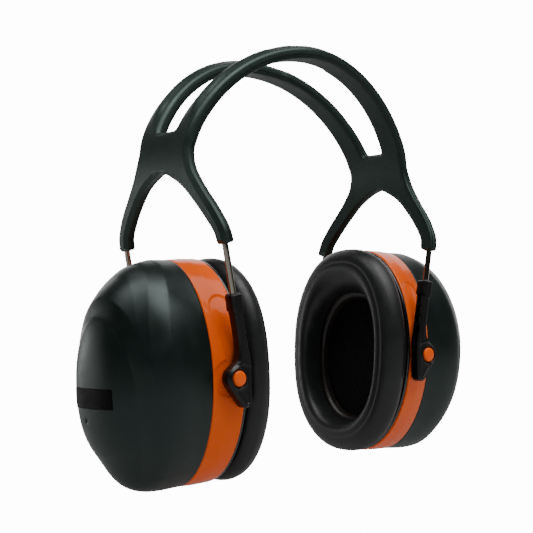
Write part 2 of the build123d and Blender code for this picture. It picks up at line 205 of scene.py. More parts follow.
# ---- headband ----------------------------------------------------------------------------------------
LEG_OUTSIDE = [(98, 20.0), (106, 22.2), (112, 25.7), (118.5, 30.5), (125, 35.8), (131, 39.9), (137, 43.0),
               (LEG_TIP_AT, 44.1)]
LEG_INSIDE = [(LEG_TIP_AT, 37.3), (138, 36.2), (133, 33.0), (127, 28.3), (121, 22.8), (115, 16.4),
              (110.5, 9.0), (107.3, 0)]
STRIP_ENDS, LEG_STARTS = 86.0, 106.0     # the strips' round section fades into the legs' flat one here
SLOT_STEP, SLOT_STEP_AT = 1.0, 17.5      # the slot widens a little over the crown
BAND_GROWTH = 0.6                        # the rounded band is this much fuller than its plain solid
BAND_TOP, BAND_BOTTOM = 3.0, -3.0        # its faces before the strips are crowned
STRIP_CROWN = 1.5                        # how far the crowned strips rise above that over the head
OUTLINE_STEP, CUT_LENGTH, CUT_WIDTH = 1.5, 2.0, 2.5


def outer_half_width(s):
    run = np.where(s < CROWN_EASE, s * s / (2 * CROWN_EASE), s - CROWN_EASE / 2)
    narrowing = np.clip(1 - run / (WAIST_AT - CROWN_EASE / 2), 0, 1) ** 1.1
    return WAIST_HALF_WIDTH + (CROWN_HALF_WIDTH - WAIST_HALF_WIDTH) * narrowing


def slot_half_width(s):
    step = SLOT_STEP * (1 - smoothstep(SLOT_STEP_AT - 2, SLOT_STEP_AT + 3, s))
    return SLOT_HALF_WIDTH - SLOT_TAPER * (s / (CROWN_RADIUS * pi / 2)) ** 1.38 + step


def round_corner(before, corner, after, radius):
    """Points round a corner, on the quadratic curve that leaves each side radius from it."""
    corner, start, end = (np.asarray(p, float) for p in (corner, before, after))
    start = corner + (start - corner) / np.linalg.norm(start - corner) * radius
    end = corner + (end - corner) / np.linalg.norm(end - corner) * radius
    return [(1 - t)**2 * start + 2 * t * (1 - t) * corner + t * t * end for t in np.linspace(0, 1, 6)]


def band_outlines():
    """The rear half's two outlines in (s, y): legs and outer edge from gap to gap, then the slot's edge."""
    s = np.arange(0, 92, OUTLINE_STEP)
    above = [(q, float(outer_half_width(q))) for q in (86.0, 92.0)]
    below = hermite(above + LEG_OUTSIDE, 5)[5:]
    outside = np.vstack([np.stack([s, outer_half_width(s)], 1), below])
    inside = hermite(LEG_INSIDE + [(s0, -y0) for s0, y0 in LEG_INSIDE[-2:-4:-1]], 5)
    inside = inside[:5 * (len(LEG_INSIDE) - 1) + 1]
    tip = round_corner(outside[-3], outside[-1], inside[0], 1.3) + round_corner(
        outside[-1], inside[0], inside[2], 1.3)
    right = np.vstack([outside[:-2], tip, inside[2:]])
    left = right[::-1] * (-1, 1)
    edge = np.vstack([left[:-1], right])
    end_y = float(slot_half_width(SLOT_END_AT))
    corner = round_corner((SLOT_END_AT, 0), (SLOT_END_AT, end_y), (SLOT_END_AT - 6, end_y + 0.6),
                          SLOT_CORNER)
    s = np.arange(SLOT_END_AT - SLOT_CORNER - OUTLINE_STEP, 0, -OUTLINE_STEP)
    half = np.vstack([[(SLOT_END_AT, 0)], corner, np.stack([s, slot_half_width(s)], 1)])
    slot = np.vstack([half, [(0, float(slot_half_width(0.0)))], half[::-1] * (-1, 1)])
    return edge, slot


def inward_normals(line):
    """Normals into the material of an outline that starts and ends on the middle plane."""
    ghost = np.vstack([line[1] * (1, -1), line, line[-2] * (1, -1)])
    steps = np.diff(ghost, axis=0)
    normals = np.stack([steps[:, 1], -steps[:, 0]], 1) / np.linalg.norm(steps, axis=1)[:, None]
    mean = normals[:-1] + normals[1:]
    mean /= np.linalg.norm(mean, axis=1)[:, None]
    stretch = 1 / np.clip((mean * normals[1:]).sum(1), 0.75, 1)
    return mean * stretch[:, None]


def strip_bulge(s, y):
    """Crown of the strips' and legs' outer face, 0 to 1, at (s, y)."""
    s, y = abs(s), abs(y)
    if s > STRIP_ENDS:
        return 0.0
    outer, inner = float(outer_half_width(s)), float(slot_half_width(s))
    half = (outer - inner) / 2 - 2.2
    v = (y - (outer + inner) / 2) / half
    return max(0.0, 1 - v * v) * (1 - float(smoothstep(STRIP_ENDS - 16, STRIP_ENDS, s)))


def band_piece(name, rings, bulge):
    """Solid of the whole band's outline, cut into small faces and bent over the head.

    Each of the rings, bottom to top, is a function of s and whether the edge is an outer one, and gives
    how far the ring lies inside the outline and how high."""
    outlines = band_outlines()
    work = bmesh.new()
    loops = []
    for inset_and_height in rings:
        loop = []
        for outline, is_edge in zip(outlines, (True, False)):
            for (s, y), n in zip(outline, inward_normals(outline)):
                inset, height = inset_and_height(abs(s), is_edge and abs(y) > slot_half_width(abs(s)))
                inset -= BAND_GROWTH
                loop.append(work.verts.new((s + n[0] * inset, max(0.0, y + n[1] * inset), height)))
        loops.append(loop)
    count, first = len(loops[0]), len(outlines[0])
    for low, high in zip(loops, loops[1:]):
        for k in range(count - 1):
            if k != first - 1:                        # the web lies open on the middle plane
                work.faces.new((low[k], low[k + 1], high[k + 1], high[k]))
    work.faces.new(loops[-1])
    work.faces.new(loops[0][::-1])
    for axis, stops in ((0, np.arange(-142, 143, CUT_LENGTH)), (1, np.arange(3, 44, CUT_WIDTH))):
        for stop in stops:
            place, normal = [0, 0, 0], [0, 0, 0]
            place[axis], normal[axis] = stop, 1
            geometry = work.verts[:] + work.edges[:] + work.faces[:]
            bmesh.ops.bisect_plane(work, geom=geometry, plane_co=place, plane_no=normal, dist=1e-5)
    bmesh.ops.triangulate(work, faces=[f for f in work.faces if len(f.verts) > 4])
    work.verts.index_update()
    flat = np.array([v.co[:] for v in work.verts])
    faces = [[v.index for v in f.verts] for f in work.faces]
    work.free()
    top = flat[:, 2].max() - 1e-4
    lift = [bulge * strip_bulge(s, y) if h > top else 0 for s, y, h in flat]
    height = flat[:, 2] + np.where(flat[:, 2] > top, lift, 0)
    rear = band_points(flat[:, 0], flat[:, 1], height)
    front = rear * (1, -1, 1)
    everything = np.vstack([rear, front])
    faces += [[k + len(rear) for k in reversed(f)] for f in faces]
    return new_object(name, everything, faces, "headband", (name.replace("_looks", ""),), 32)


def cover_ring(turn):
    """Ring of the cover's shoulder at turn radians round its edge, 0 on the wall and pi/2 on top."""
    def ring(s, outer_edge):
        legs = float(smoothstep(STRIP_ENDS, LEG_STARTS, s))
        facet = legs if outer_edge else 0.0
        inset = (2.6 - 1.0 * legs) + 0.6 * facet
        drop = 2.0 - 0.6 * legs + 0.3 * facet
        straight = turn / (pi / 2)
        across = (1 - cos(turn)) * (1 - facet) + straight * facet
        down = (1 - sin(turn)) * (1 - facet) + (1 - straight) * facet
        return inset * across, BAND_TOP - drop * down
    return ring


def headband():
    joint_h = -BAND_THICKNESS / 2 + LINER_THICKNESS
    shoulder = [cover_ring(turn) for turn in np.linspace(0, pi / 2, 7)]
    cover = [lambda s, e: (0.4, joint_h), lambda s, e: (0.0, joint_h + 0.35)] + shoulder
    band_piece("headband_cover_looks", cover, STRIP_CROWN)
    liner = [lambda s, e: (0.95, BAND_BOTTOM), lambda s, e: (0.4, BAND_BOTTOM + 0.2),
             lambda s, e: (0.15, BAND_BOTTOM + 0.6), lambda s, e: (0.15, joint_h - 0.2),
             lambda s, e: (0.4, joint_h)]
    band_piece("headband_liner_looks", liner, 0.0)


headband()


# ---- ear cups ----------------------------------------------------------------------------------------
ROUND = 400                              # columns round each plain oval part
DOME_COLUMNS, DOME_FLANK_ROWS, DOME_END_ROWS = 440, 100, 109
RING_COLUMNS, FOAM_COLUMNS, FOAM_ROWS, BUTTON_COLUMNS = 640, 240, 56, 64
LABEL_COLUMNS, LABEL_ROWS = 94, 30
DOME_PLAN_POWER, DOME_RISE_POWER = 3.43, 1.81
DOME_SWELL = 4.0                         # the creases and the panel are cut into a dome this much fuller
PANEL_OUTER, PANEL_INNER = (29.5, 42.5, 48.5, -4), (25.0, 35.0, 44.0, -5)   # half width, up, down, centre w
PANEL_DEPTH, PANEL_BULGE = 2.8, 2.0
WAIST_SLOPE, RELIEF_LIMIT = 0.26, 5.0
FACETS = [(38.3, 4.6, 12.0, 0.42), (41.6, 5.2, 20.0, 0.42)]   # u, how far it drops, from which w, slope
DIMPLE_Y, DIMPLE_W, DIMPLE_RADIUS, DIMPLE_DEPTH = 4, -18.5, 1.3, 0.5


def oval_columns(count=ROUND):
    """Unit directions round an oval, evenly spaced in angle: cos for y, sin for w."""
    angle = np.linspace(0, 2 * pi, count, endpoint=False)
    return np.cos(angle), np.sin(angle)


def dome_depth(y, w):
    """u of the plain dome above a point (y, w) inside its outline."""
    r = np.sqrt((y / SHELL_SIZE[0])**2 + (w / SHELL_SIZE[1])**2)
    return RING_OUTER_U + SHELL_DEPTH * np.clip(1 - r**DOME_PLAN_POWER, 0, 1) ** (1 / DOME_RISE_POWER)


def dome_normal(u, y, w):
    """Outward normal of the plain dome."""
    f = np.clip((u - RING_OUTER_U) / SHELL_DEPTH, 1e-6, 1)
    r = np.sqrt((y / SHELL_SIZE[0])**2 + (w / SHELL_SIZE[1])**2) + 1e-9
    slope = DOME_PLAN_POWER * r**(DOME_PLAN_POWER - 2)
    rise = DOME_RISE_POWER * f**(DOME_RISE_POWER - 1)
    n = np.stack([rise / SHELL_DEPTH, slope * y / SHELL_SIZE[0]**2, slope * w / SHELL_SIZE[1]**2], -1)
    return n / np.linalg.norm(n, axis=-1, keepdims=True)


def panel_radius(y, w, panel_edge):
    """Distance from the panel's centre, 1 on the given edge, which is taller below than above."""
    half_width, up, down, centre = panel_edge
    return np.sqrt((y / half_width)**2 + ((w - centre) / np.where(w > PANEL_OUTER[3], up, down))**2)


def panel_share(y, w):
    """0 outside the sunken end panel, 1 on its floor."""
    inside = np.clip(1 - panel_radius(y, w, PANEL_OUTER), 0, None)
    outside = np.clip(panel_radius(y, w, PANEL_INNER) - 1, 0, None)
    return inside / (inside + outside + 1e-9) * smoothstep(-51, -36, w)


def panel_bulge(y, w):
    """1 in the middle of the end panel, 0 at its edge."""
    return np.clip(1 - panel_radius(y, w, PANEL_INNER)**2, 0, 1)


def hinge_line(x, width):
    """Distance beyond a soft crease at 0, rounded over width."""
    return np.where(x < -width, 0, np.where(x > width, x, (x + width)**2 / (4 * width)))


def dome_relief(u, y, w):
    """Depth in mm below the plain dome: a crease round the waist, moulded facets and the end panel."""
    crease = RING_OUTER_U + 22.8 - np.where(w > 0, 9.5 * (w / 45)**2, 3 * (w / 34)**2)
    waist = WAIST_SLOPE * hinge_line(u - crease, 0.5) * (0.45 + 0.55 * smoothstep(-30, 5, w))
    waist = waist * smoothstep(-53, -40, w)
    upper = smoothstep(2, 24, w) * (1 - smoothstep(46, 52, w))
    facets = 0
    for base, drop, start, slope in FACETS:
        line = base - drop * (np.clip(w - start, 0, None) / 24)**2
        facets = facets + slope * hinge_line(u - line, 0.35) * upper
    panel = PANEL_DEPTH * panel_share(y, w) - PANEL_BULGE * panel_bulge(y, w)
    facets = facets * (1 - panel_share(y, w))
    limit = RELIEF_LIMIT * (1 - np.exp(-(waist + facets) / RELIEF_LIMIT))
    dimple_distance = ((y - DIMPLE_Y)**2 + (w - DIMPLE_W)**2) / DIMPLE_RADIUS**2
    dimple = DIMPLE_DEPTH * np.exp(-dimple_distance**2)
    swell = DOME_SWELL * smoothstep(RING_OUTER_U, RING_OUTER_U + 26, u)
    return limit + panel + dimple - swell


def cup_object(side, name, points, faces, replaced=(), smooth_angle=40, body="cup"):
    return new_object(side + "_" + name, cup_points(side, points), faces, side + "_" + body,
                      [side + "_" + node for node in replaced], smooth_angle)


def dome_shell(side):
    """The moulded dome, with a rolled foot that tucks into the ring."""
    cos_a, sin_a = oval_columns(DOME_COLUMNS)
    def scale_at(height):
        return (1 - height**DOME_RISE_POWER) ** (1 / DOME_PLAN_POWER)

    def height_at(scale):
        return (1 - scale**DOME_PLAN_POWER) ** (1 / DOME_RISE_POWER)
    flank_top = 0.80
    rows = [(height, scale_at(height)) for height in np.linspace(0, flank_top, DOME_FLANK_ROWS)]
    rows += [(height_at(scale), scale)
             for scale in np.linspace(scale_at(flank_top), 0.012, DOME_END_ROWS + 1)[1:]]
    points = []
    for inset, u in ((1.6, RING_OUTER_U - 1.5), (0.7, RING_OUTER_U - 0.3), (0.35, RING_OUTER_U + 0.1)):
        points.append(np.stack([np.full_like(cos_a, u), cos_a * (SHELL_SIZE[0] - inset),
                                sin_a * (SHELL_SIZE[1] - inset)], 1))
    for f, scale in rows:
        u = np.full_like(cos_a, RING_OUTER_U + SHELL_DEPTH * f)
        y, w = cos_a * SHELL_SIZE[0] * scale, sin_a * SHELL_SIZE[1] * scale
        seam = 0.35 * np.exp(-(u - RING_OUTER_U) / 0.25)
        depth = dome_relief(u, y, w) + seam
        points.append(np.stack([u, y, w], 1) - dome_normal(u, y, w) * depth[:, None])
    points = np.vstack(points)
    faces = ring_faces(len(points) // DOME_COLUMNS, DOME_COLUMNS)
    faces.append(tuple(range(len(points) - DOME_COLUMNS, len(points))))
    return cup_object(side, "dome", points, faces, ("cup_shell",), 30)


def label_plate(side):
    """Blank black plate with a fine raised border on the sunken panel."""
    half_y, top, bottom, corner = 15.5, -3.3, -12.8, 0.8
    ys, ws = np.linspace(-half_y, half_y, LABEL_COLUMNS), np.linspace(bottom, top, LABEL_ROWS)
    lift = []
    for w in ws:
        for y in ys:
            qy, qw = half_y - abs(y), min(w - bottom, top - w)
            edge = min(qy, qw)
            if qy < corner and qw < corner:
                edge = corner - sqrt((corner - qy)**2 + (corner - qw)**2)
            border = 0.1 * float(np.exp(-((edge - 0.9) / 0.25)**4))
            lift.append(0.42 * float(smoothstep(-0.2, 0.35, edge)) + border - 0.04)
    y, w = np.meshgrid(ys, ws)
    y, w = y.ravel(), w.ravel()
    u = dome_depth(y, w)
    depth = dome_relief(u, y, w) - np.array(lift)
    points = np.stack([u, y, w], 1) - dome_normal(u, y, w) * depth[:, None]
    corners = [i * LABEL_COLUMNS + j for i in range(LABEL_ROWS - 1) for j in range(LABEL_COLUMNS - 1)]
    faces = [(k, k + 1, k + LABEL_COLUMNS + 1, k + LABEL_COLUMNS) for k in corners]
    return cup_object(side, "label", points, faces, ("label_plate",), 60)


def slide_line_u(w):
    """u of the slider's wire line at height w above the cup's centre."""
    above_pivot = w + PIVOT_BELOW_CENTRE
    return -6.4 + above_pivot * tan(WIRE_LEAN - CUP_TILT)


def ring_pocket(u, w):
    """0 to 1 where the ring is scooped out under an arm."""
    low, high = -6.0, 31.0
    nearest = np.clip(w, low, high)
    along = np.hypot(u - slide_line_u(nearest) - 0.6, w - nearest)
    head = np.hypot(u, w + PIVOT_BELOW_CENTRE)
    return np.maximum(1 - smoothstep(5.0, 6.6, along), 1 - smoothstep(7.8, 9.2, head))


POCKET_DEPTH, RING_FLAT_Y = 0.8, 37.6


def trim_ring(side):
    """Glossy ring: rounded edges, flat and scooped under the arms."""
    cos_a, sin_a = oval_columns(RING_COLUMNS)
    inner, outer = RING_INNER_U, RING_OUTER_U
    rows = [(inner, 6.0), (inner, 1.6), (inner, 0.8), (inner + 0.12, 0.35), (inner + 0.4, 0.1),
            (inner + 0.8, 0.0)]
    rows += [(u, 0.0) for u in np.linspace(inner + 1.1, outer - 0.7, 44)]
    rows += [(outer - 0.4, 0.06), (outer - 0.15, 0.2), (outer, 0.5), (outer - 0.05, 1.0),
             (outer - 0.4, 1.6), (outer - 0.6, 3.4)]
    points = []
    for u, inset in rows:
        stations = (inner, RING_MIDDLE_U, outer)
        half_y, half_w = (float(np.interp(u, stations, sizes)) - inset
                          for sizes in zip(RING_SIZE, RING_MIDDLE_SIZE, SHELL_SIZE))
        y, w = cos_a * half_y, sin_a * half_w
        depth = POCKET_DEPTH * ring_pocket(np.full_like(w, u), w) * (inset < 1)
        y = np.sign(y) * np.minimum(np.abs(y), RING_FLAT_Y - depth)
        narrow = np.sign(y) * np.clip(np.abs(y) - depth * 0.75, 0, None)
        y = np.where(depth > 0, narrow, y)
        points.append(np.stack([np.full_like(y, u), y, w], 1))
    return cup_object(side, "ring", np.vstack(points), ring_faces(len(rows), RING_COLUMNS),
                      ("trim_ring",), 30)


OPENING_WIDENING = 0.36


def oval_turned(side, name, profile, size, replaced=(), closed=True, count=ROUND, wobble=None,
                smooth_angle=50, corner=1.0):
    """An oval piece from a profile of (u, inset from the outline, how far its top is pulled down).

    Where the top is pulled down the sides widen a little, so that the ear opening becomes rounder. A
    corner below 1 squares the oval slightly."""
    cos_a, sin_a = (np.sign(part) * np.abs(part)**corner for part in oval_columns(count))
    points = []
    for k, (u, inset, low) in enumerate(profile):
        extra = wobble(k / len(profile), np.arctan2(sin_a, cos_a)) if wobble else 0
        half_y = size[0] - inset + OPENING_WIDENING * low + extra
        half_w = size[1] - inset - low / 2 + extra
        points.append(np.stack([np.full_like(cos_a, u), cos_a * half_y, sin_a * half_w - low / 2], 1))
    faces = ring_faces(len(profile), count, closed)
    return cup_object(side, name, np.vstack(points), faces, replaced, smooth_angle)


def seal_plate(side):
    """Glossy black flange between the ring and the cushion."""
    back, front = RING_INNER_U, RING_INNER_U - 2.0
    profile = [(back + 0.1, 9.5), (back, 0.7), (back - 0.15, 0.25), (back - 0.5, 0.0), (front + 0.6, 0.0),
               (front + 0.2, 0.25), (front, 0.7), (front - 0.05, 2.4), (front - 0.9, 3.0),
               (front - 0.9, 9.5)]
    profile = [(u, inset, 0.0) for u, inset in profile]
    return oval_turned(side, "seal_flange", profile, FLANGE_SIZE, ("seal_plate",),
                       smooth_angle=60)


CUSHION_PROFILE = [(-10.7, 6.4, 0), (-11.6, 4.0, 0), (-13.2, 1.6, 0), (-15.5, 0.3, 0), (-17.3, 0.0, 0),
                   (-20.0, 0.5, 0), (-22.5, 1.9, 0), (-24.5, 4.1, 0), (-25.5, 6.6, 0), (-25.55, 8.1, 0),
                   (-25.9, 9.4, 0), (-26.0, 10.9, 0.2), (-25.5, 12.5, 1.0), (-24.3, 13.9, 2.2),
                   (-22.4, 15.0, 3.8), (-20.0, 15.8, 5.2), (-17.0, 16.4, 6.4), (-14.2, 16.8, 7.2),
                   (-13.9, 14.6, 7.2)]
SOFT_CORNER = 0.88                       # the cushion and its sleeve are a little squarer than an oval


def cushion(side):
    """Soft sealed roll: plump outside, a pressed line near its outer edge, and a slack inner wall."""
    profile = hermite(CUSHION_PROFILE, 6)
    phase = 0.7 if side == "left" else 2.1

    def wobble(along, angle):
        soft = 0.16 * np.sin(3 * angle + phase) + 0.10 * np.sin(7 * angle + 2 * phase + 4 * along)
        slack = 0.14 * np.sin(19 * angle + 9 * along + phase) * float(smoothstep(0.66, 0.86, along))
        return (soft + slack) * sin(pi * along)
    piece = oval_turned(side, "cushion", profile, CUSHION_SIZE,
                        ("cushion_skin", "cushion_foam"), wobble=wobble, smooth_angle=75,
                        corner=SOFT_CORNER)
    return piece


def gasket(side):
    """Thin sleeve between the cushion and the face foam, with a rolled lip."""
    profile = [(-13.7, 16.3, 7.2), (-13.9, 16.6, 7.3), (-13.75, 17.0, 7.4), (-13.2, 17.05, 7.4),
               (-12.8, 16.9, 7.4), (-12.5, 17.2, 7.6), (-12.2, 17.8, 7.8), (-11.4, 18.1, 8.2),
               (-8.7, 18.7, 8.6), (-8.7, 16.6, 7.6)]
    return oval_turned(side, "sleeve", profile, CUSHION_SIZE, ("cushion_gasket",),
                       smooth_angle=60, corner=SOFT_CORNER)


def face_foam(side):
    """Pad of open foam at the bottom of the ear opening, bulging a little through it and uneven."""
    cos_a, sin_a = oval_columns(FOAM_COLUMNS)
    face, face_scale, dish_depth = FOAM_FACE_U - 2.6, 0.775, 1.2
    rows = [(6.0, 0.02), (6.0, 1.0), (-2.0, 1.0), (-4.6, 0.98), (-5.0, 0.92), (-5.1, 0.82), (-6.4, 0.79)]
    rows += [(face, scale) for scale in np.linspace(face_scale, 0.01, FOAM_ROWS)]
    points = []
    for u, scale in rows:
        y, w = cos_a * FOAM_SIZE[0] * min(1, scale * 1.17), sin_a * FOAM_SIZE[1] * scale
        relief = np.zeros_like(y)
        if u == face:
            relief += dish_depth * (1 - (scale / face_scale)**2)
            relief += 0.12 * np.sin(y / 3.1 + 1.3) * np.sin(w / 3.7)
            relief += 0.18 * np.sin(y / 7.7) * np.sin(w / 9.1 + 0.6)
        points.append(np.stack([u + relief, y, w], 1))
    points = np.vstack(points)
    faces = ring_faces(len(rows), FOAM_COLUMNS) + end_faces(len(points), FOAM_COLUMNS)
    piece = cup_object(side, "face_foam", points, faces, ("foam_disc", "foam_block"), 60)
    return piece


def pivot_button(side, end):
    """Domed button of a pivot, with the shaft that runs through the arm's eye into the ring."""
    profile = [(32.8, 2.55), (42.0, 2.6), (42.1, 3.55), (42.3, 3.7), (43.5, 3.7), (43.95, 3.5),
               (44.2, 3.05), (44.33, 2.2), (44.4, 1.2), (44.4, 0.02)]
    sign = -1 if end == "front" else 1
    cos_a, sin_a = oval_columns(BUTTON_COLUMNS)
    circles = [np.stack([r * cos_a, np.full_like(cos_a, sign * y), r * sin_a - PIVOT_BELOW_CENTRE], 1)
               for y, r in profile]
    points = np.vstack(circles)
    faces = ring_faces(len(profile), BUTTON_COLUMNS) + end_faces(len(points), BUTTON_COLUMNS)
    return cup_object(side, f"{end}_button", points, faces, (f"{end}_pivot_stud",), 40)


for side in SIDES:
    dome_shell(side)
    label_plate(side)
    trim_ring(side)
    seal_plate(side)
    cushion(side)
    gasket(side)
    face_foam(side)
    for end in ("front", "rear"):
        pivot_button(side, end)


# ---- arms: built along the wire, xi across it (outward from the head) and zeta up it, in millimetres ---
ARM_INNER_Y, ARM_OUTER_Y, WIRE_Y = 38.0, 43.6, 40.8
SHAFT_HALF, COLLAR_HALF, COLLAR_FOOT, ARM_TOP = 2.5, 3.0, 32.0, 40.0
CHANNEL_HALF, CHANNEL_DEPTH, CHANNEL_FLOOR, CROSSBAR_PITCH = 1.75, 1.75, 2.6, 5.3
PIVOT_XI, PIVOT_ZETA = 6.28, 1.22
HEAD_CIRCLES = [(PIVOT_XI, PIVOT_ZETA, 6.3), (3.69, -10.08, 3.2), (-0.06, 7.12, 2.7)]
# (zeta, xi) of the head's outer flank where it narrows to the shaft
NECK = [(6.0, 9.9), (7.0, 8.4), (7.8, 6.6), (9.0, 5.1), (11.0, 3.9), (14.0, 3.05), (18.0, 2.6),
        (23.0, SHAFT_HALF)]


def head_outline():
    """Hull of the head's circles as a closed loop of (xi, zeta)."""
    angle = np.linspace(0, 2 * pi, 72, endpoint=False)
    cloud = [(x + r * cos(a), z + r * sin(a)) for x, z, r in HEAD_CIRCLES for a in angle]
    return np.array([cloud[k] for k in convex_hull_2d([Vector(p) for p in cloud])])


def spans(outline, zeta):
    """Lowest and highest xi of a convex outline at each zeta."""
    low, high = np.full(len(zeta), 1e9), np.full(len(zeta), -1e9)
    for (x0, z0), (x1, z1) in zip(outline, np.roll(outline, -1, 0)):
        if abs(z1 - z0) < 1e-9:
            continue
        t = (zeta - z0) / (z1 - z0)
        hit = (t >= 0) & (t <= 1)
        x = x0 + (x1 - x0) * t
        low, high = np.where(hit, np.minimum(low, x), low), np.where(hit, np.maximum(high, x), high)
    return low, high


def edge_distance(outline, xi, zeta):
    """Distance of points from the outline's edges."""
    best = np.full(xi.shape, 1e9)
    for p, q in zip(outline, np.roll(outline, -1, 0)):
        d = q - p
        t = np.clip(((xi - p[0]) * d[0] + (zeta - p[1]) * d[1]) / (d @ d), 0, 1)
        best = np.minimum(best, np.hypot(xi - p[0] - t * d[0], zeta - p[1] - t * d[1]))
    return best


def arm_face(xi, zeta, low, high, outline):
    """y of the arm's outer face: rounded shaft, stepped collar, arched lip, bevelled and dished head."""
    edge = np.minimum(xi - low, high - xi)
    bevel = 1.15 * np.clip(1 - edge / 1.3, 0, 1)**1.6
    shaft = ARM_OUTER_Y - bevel - 0.35 * np.exp(-((xi + 0.7) / 0.45)**2)
    collar = ARM_OUTER_Y + 0.4 - 1.0 * np.clip(1 - edge / 1.1, 0, 1)**1.5
    ring = smoothstep(COLLAR_FOOT - 1.5, COLLAR_FOOT - 1.2, zeta)
    shaft = shaft + 0.3 * ring
    y = np.where(zeta > COLLAR_FOOT, collar, shaft)
    y = y - 0.9 * smoothstep(ARM_TOP - 0.8, ARM_TOP, zeta)
    rim = edge_distance(outline, xi, zeta)
    inside = np.where((zeta < 7.5) & (xi > low) & (xi < high), 1.0, 0.0)
    dish = 0.5 * smoothstep(1.7, 2.3, rim) * inside
    head = ARM_OUTER_Y - 1.1 * np.clip(1 - rim / 1.1, 0, 1) - dish
    arch = PIVOT_ZETA - 5.2 + 12 * np.sqrt(np.clip(1 - ((xi - PIVOT_XI) / 11.5)**2, 0, 1))
    below = 1 - smoothstep(-0.3, 0.3, zeta - arch)
    y = y * (1 - below) + head * below
    y = y + 0.3 * np.exp(-((zeta - arch) / 0.4)**2) * (edge > 0.5)
    button = np.hypot(xi - PIVOT_XI, zeta - PIVOT_ZETA)
    lip = 0.5 * np.exp(-((button - 4.7) / 0.55)**2)
    y = np.minimum(y + lip, ARM_OUTER_Y + 0.45)
    return np.where(button < 4.05, np.minimum(y, 42.0), y)


def arm_body():
    """Points and faces of a solid arm, before its bore and channel are cut."""
    outline = head_outline()
    bottom = outline[:, 1].min()
    zeta = np.unique(np.concatenate([bottom + np.array([0.02, 0.08, 0.2, 0.4, 0.65]),
                                     np.arange(bottom + 0.9, 9, 0.3), np.arange(9, COLLAR_FOOT - 1.6, 0.6),
                                     np.array([-1.5, -1.35, -1.2, -0.4, 0, 0.05, 0.4, 0.8]) + COLLAR_FOOT,
                                     np.arange(COLLAR_FOOT + 1.2, ARM_TOP - 0.9, 0.6),
                                     ARM_TOP - np.array([0.8, 0.5, 0.25, 0.1, 0.0])]))
    low, high = spans(outline, np.clip(zeta, None, 6.9))
    high = np.where(zeta > 6, np.interp(zeta, *hermite(NECK, 6).T), high)
    low = np.where(zeta > 6.9, -SHAFT_HALF - 0.26 * (1 - smoothstep(7, 12, zeta)), low)
    collar = COLLAR_HALF + 0.18 * np.exp(-((zeta - COLLAR_FOOT - 1.5) / 1.3)**2)
    collar = collar - 0.75 * smoothstep(ARM_TOP - 0.9, ARM_TOP, zeta)
    step = 0.2 * (zeta > COLLAR_FOOT - 1.3)
    high = np.where(zeta > COLLAR_FOOT, collar, high + step)
    low = np.where(zeta > COLLAR_FOOT, -collar, low - step)
    across = (1 - np.cos(np.linspace(0, pi, 45))) / 2
    points = []
    for z, a, b in zip(zeta, low, high):
        xi = b + (a - b) * across
        y = arm_face(xi, np.full_like(xi, z), a, b, outline)
        back = ARM_INNER_Y - (0.4 if z > COLLAR_FOOT else 0.0)
        r = min(0.5, (b - a) / 3)
        section = [(x, q) for x, q in zip(xi, y)]
        section += [(a, WIRE_Y + 1), (a, back + r), (a + 0.3 * r, back + 0.3 * r), (a + r, back),
                    (b - r, back), (b - 0.3 * r, back + 0.3 * r), (b, back + r), (b, WIRE_Y + 1)]
        points += [(x, q, z) for x, q in section]
    count = len(points) // len(zeta)
    faces = ring_faces(len(zeta), count)
    faces += [tuple(range(count - 1, -1, -1)), tuple(range(len(points) - count, len(points)))]
    return points, faces


def box_mesh(x0, x1, y0, y1, z0, z1):
    points = [(x, y, z) for x in (x0, x1) for y in (y0, y1) for z in (z0, z1)]
    return points, [(0, 1, 3, 2), (4, 6, 7, 5), (0, 4, 5, 1), (2, 3, 7, 6), (0, 2, 6, 4), (1, 5, 7, 3)]


def rod_mesh(place, direction, radius, start, end, count=48):
    """Closed rod along an axis of the arm's coordinates."""
    angle = np.linspace(0, 2 * pi, count, endpoint=False)
    first, second = [k for k in range(3) if k != direction]
    points = np.zeros((2 * count, 3))
    points[:, first] = place[first] + radius * np.tile(np.cos(angle), 2)
    points[:, second] = place[second] + radius * np.tile(np.sin(angle), 2)
    points[:, direction] = np.repeat((start, end), count)
    faces = ring_faces(2, count) + [tuple(range(count - 1, -1, -1)), tuple(range(count, 2 * count))]
    return points.tolist(), faces


def plain_mesh(name, points, faces):
    mesh = bpy.data.meshes.new(name)
    mesh.from_pydata([tuple(p) for p in points], [], faces)
    work = bmesh.new()
    work.from_mesh(mesh)
    bmesh.ops.recalc_face_normals(work, faces=work.faces)
    work.to_mesh(mesh)
    work.free()
    return mesh


def cut(mesh, cutters):
    """The mesh with closed cutters taken out of it."""
    body = bpy.data.objects.new("arm_blank", mesh)
    bpy.context.scene.collection.objects.link(body)
    helpers = [body]
    for points, faces in cutters:
        helper = bpy.data.objects.new("cutter", plain_mesh("cutter", points, faces))
        bpy.context.scene.collection.objects.link(helper)
        helpers.append(helper)
        modifier = body.modifiers.new("cut", "BOOLEAN")
        modifier.operation, modifier.solver, modifier.object = "DIFFERENCE", "EXACT", helper
    bpy.context.view_layer.update()
    graph = bpy.context.evaluated_depsgraph_get()
    result = bpy.data.meshes.new_from_object(body.evaluated_get(graph))
    for helper in helpers:
        bpy.data.objects.remove(helper)
    return result


